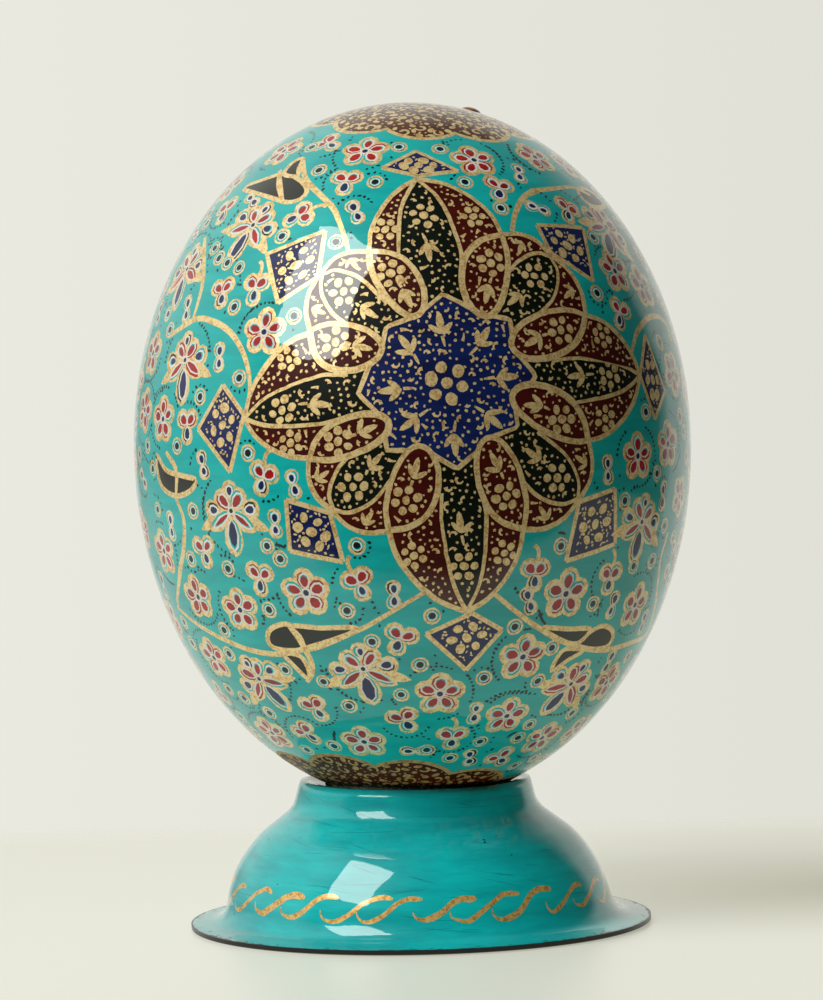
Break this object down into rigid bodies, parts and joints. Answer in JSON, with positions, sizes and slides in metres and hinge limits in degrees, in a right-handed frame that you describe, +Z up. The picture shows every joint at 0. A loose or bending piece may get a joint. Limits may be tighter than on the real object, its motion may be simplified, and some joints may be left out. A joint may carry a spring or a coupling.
{
  "type": "decorated ostrich egg on a stand",
  "caption": "Painted and lacquered ostrich egg resting upright in the lip of a bell-shaped spun metal stand, as a free-standing ornament.",
  "frame": {"origin": "centre of the stand's foot, on the surface it rests on", "axes": "+Z up along the egg's and the stand's shared axis; -Y faces the viewer of the front medallion"},
  "size_m": [0.126, 0.126, 0.1859],
  "materials": {
    "egg_lacquer": "painted turquoise ground with gold, maroon, navy and red ornament under thick clear lacquer",
    "stand_paint": "brushed turquoise gloss paint with a gold wave band, black at the flange edge and underneath",
    "plug_filler": "brown painted filler under lacquer"
  },
  "bodies": {
    "root": {"egg": "egg_lacquer", "stand": "stand_paint", "hole_plug": "plug_filler"}
  },
  "joints": []
}
